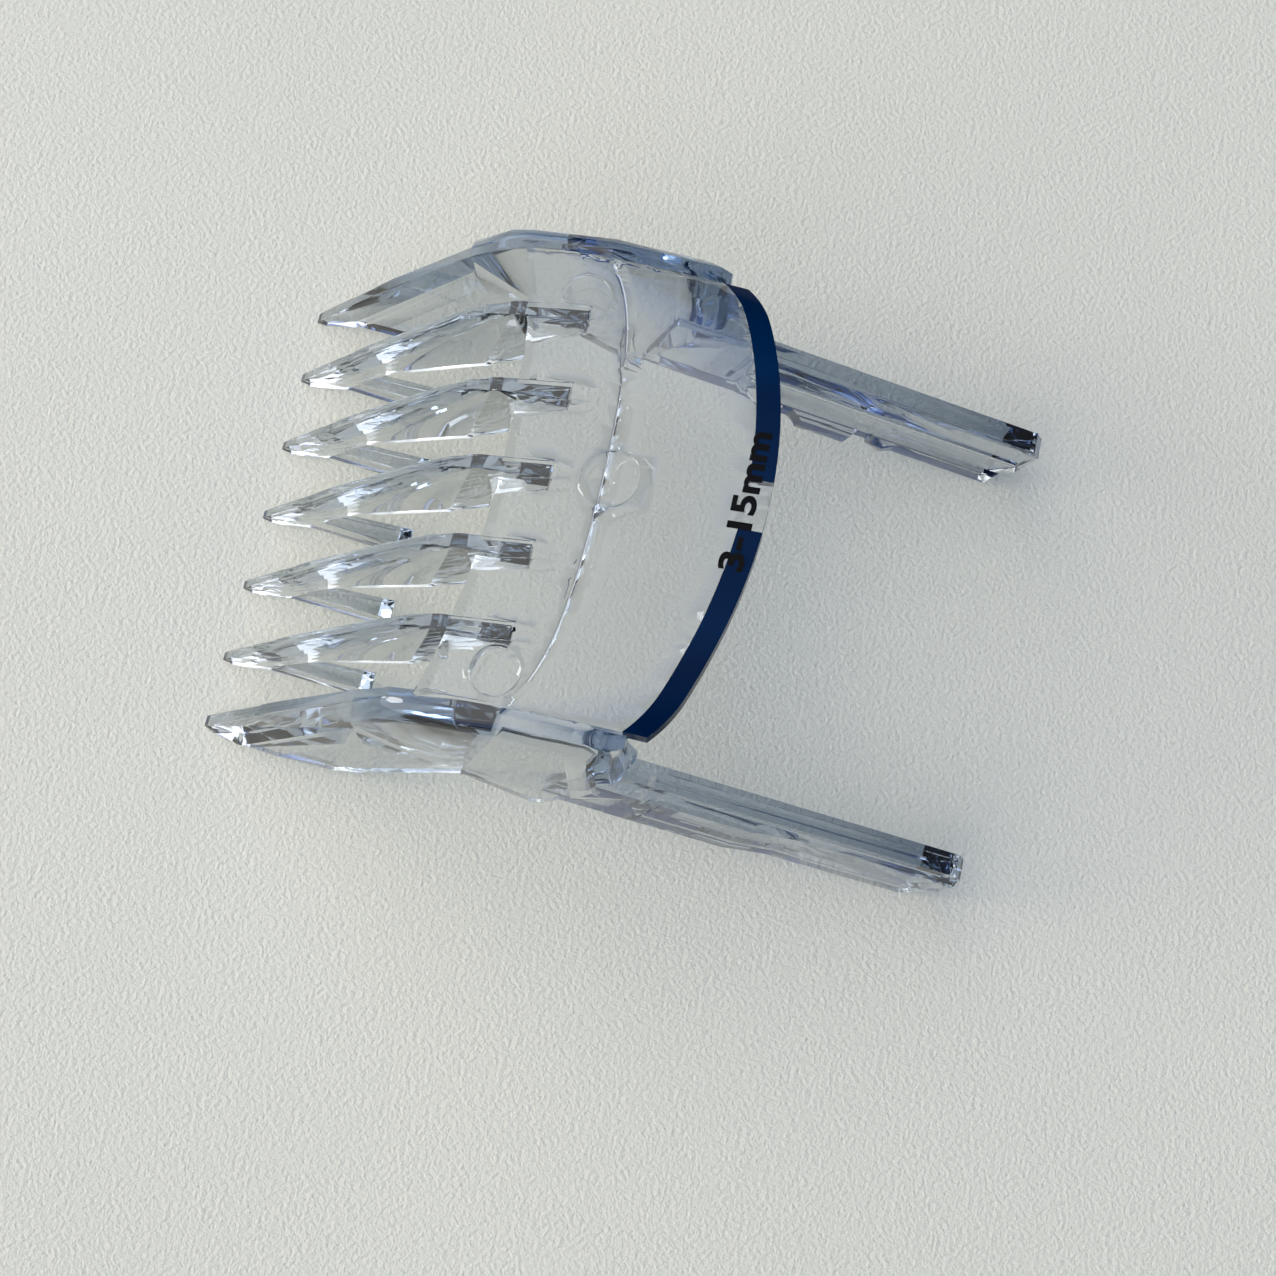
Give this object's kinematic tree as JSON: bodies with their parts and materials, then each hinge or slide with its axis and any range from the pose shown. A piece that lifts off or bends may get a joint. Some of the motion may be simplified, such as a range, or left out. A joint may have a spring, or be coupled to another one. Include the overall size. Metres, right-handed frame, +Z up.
{
  "type": "hair clipper guard comb",
  "caption": "Clear plastic guard comb for a hair clipper: fin teeth with V notches under an arched cover, and two long slide-on arms that flex outward.",
  "frame": {"origin": "middle of the footprint, on the surface the comb lies on", "axes": "+X from the tooth tips towards the free ends of the arms, +Y towards the left arm, +Z up; the comb lies on its tooth tips and arm ends"},
  "size_m": [0.0686, 0.0444, 0.0335],
  "materials": {
    "clear_plastic": "clear, glossy, slight cool tint",
    "navy_band": "navy print on the rim, glossy"
  },
  "bodies": {
    "head": {"arm_root_left": "clear_plastic", "arm_root_right": "clear_plastic", "cheek_left": "clear_plastic", "cheek_right": "clear_plastic", "front_cover": "clear_plastic", "rear_cover": "clear_plastic", "rim_band_left": "navy_band", "rim_band_right": "navy_band", "rim_window": "clear_plastic", "tooth_1": "clear_plastic", "tooth_2": "clear_plastic", "tooth_2_foot": "clear_plastic", "tooth_3": "clear_plastic", "tooth_3_foot": "clear_plastic", "tooth_4": "clear_plastic", "tooth_4_foot": "clear_plastic", "tooth_5": "clear_plastic", "tooth_5_foot": "clear_plastic", "tooth_6": "clear_plastic", "tooth_6_foot": "clear_plastic", "tooth_7": "clear_plastic"},
    "left_arm": {"arm_left": "clear_plastic", "arm_rail_left": "clear_plastic", "catch_left": "clear_plastic", "catch_ramp_left": "clear_plastic", "guide_lip_left": "clear_plastic", "guide_rib_left": "clear_plastic"},
    "right_arm": {"arm_right": "clear_plastic", "arm_rail_right": "clear_plastic", "catch_right": "clear_plastic", "catch_ramp_right": "clear_plastic", "guide_lip_right": "clear_plastic", "guide_rib_right": "clear_plastic"}
  },
  "joints": [
    {"name": "left_arm_flex", "type": "hinge", "parent": "head", "child": "left_arm", "pos_m": [0.00536, 0.02003, 0.01244], "axis": [0.2904, 0, 0.9569], "range_deg": [-2, 4], "stiffness_Nm_per_rad": 3.3},
    {"name": "right_arm_flex", "type": "hinge", "parent": "head", "child": "right_arm", "pos_m": [0.00536, -0.02003, 0.01244], "axis": [-0.2904, 0, -0.9569], "range_deg": [-2, 4], "stiffness_Nm_per_rad": 3.3}
  ]
}
